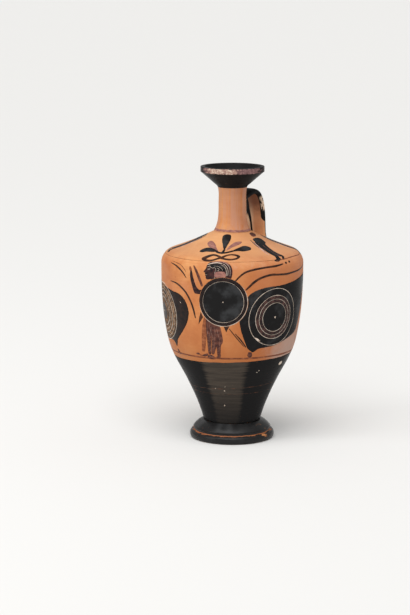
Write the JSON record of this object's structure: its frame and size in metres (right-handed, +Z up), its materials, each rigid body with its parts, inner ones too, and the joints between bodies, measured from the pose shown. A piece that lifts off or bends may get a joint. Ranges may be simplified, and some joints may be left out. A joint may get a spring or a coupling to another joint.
{
  "type": "lekythos",
  "caption": "Tall clay oil flask with a flaring cup mouth, a slim neck, a strap handle from neck to shoulder, a tapered body and a turned foot.",
  "frame": {"origin": "centre of the foot's underside, on the plane that the flask stands on", "axes": "+Z up along the axis of turning, +Y from the axis towards the handle, +X to the right of someone who looks along +Y"},
  "size_m": [0.1116, 0.1116, 0.215],
  "materials": {
    "fired_clay": "burnished orange fired clay with a thin ochre wash, slightly worn",
    "black_gloss": "black gloss slip with brush sheen, thin and worn at the edges",
    "luting_clay": "soft joining clay, fired unpainted",
    "purple_slip": "matt added purple-red slip, faded"
  },
  "bodies": {
    "root": {"mouth": "black_gloss", "neck": "fired_clay", "body": "fired_clay", "foot": "black_gloss", "handle": "black_gloss", "mouth_luting": "luting_clay", "neck_luting": "luting_clay", "foot_luting": "luting_clay", "handle_top_luting": "luting_clay", "handle_root_luting": "luting_clay"}
  },
  "joints": []
}
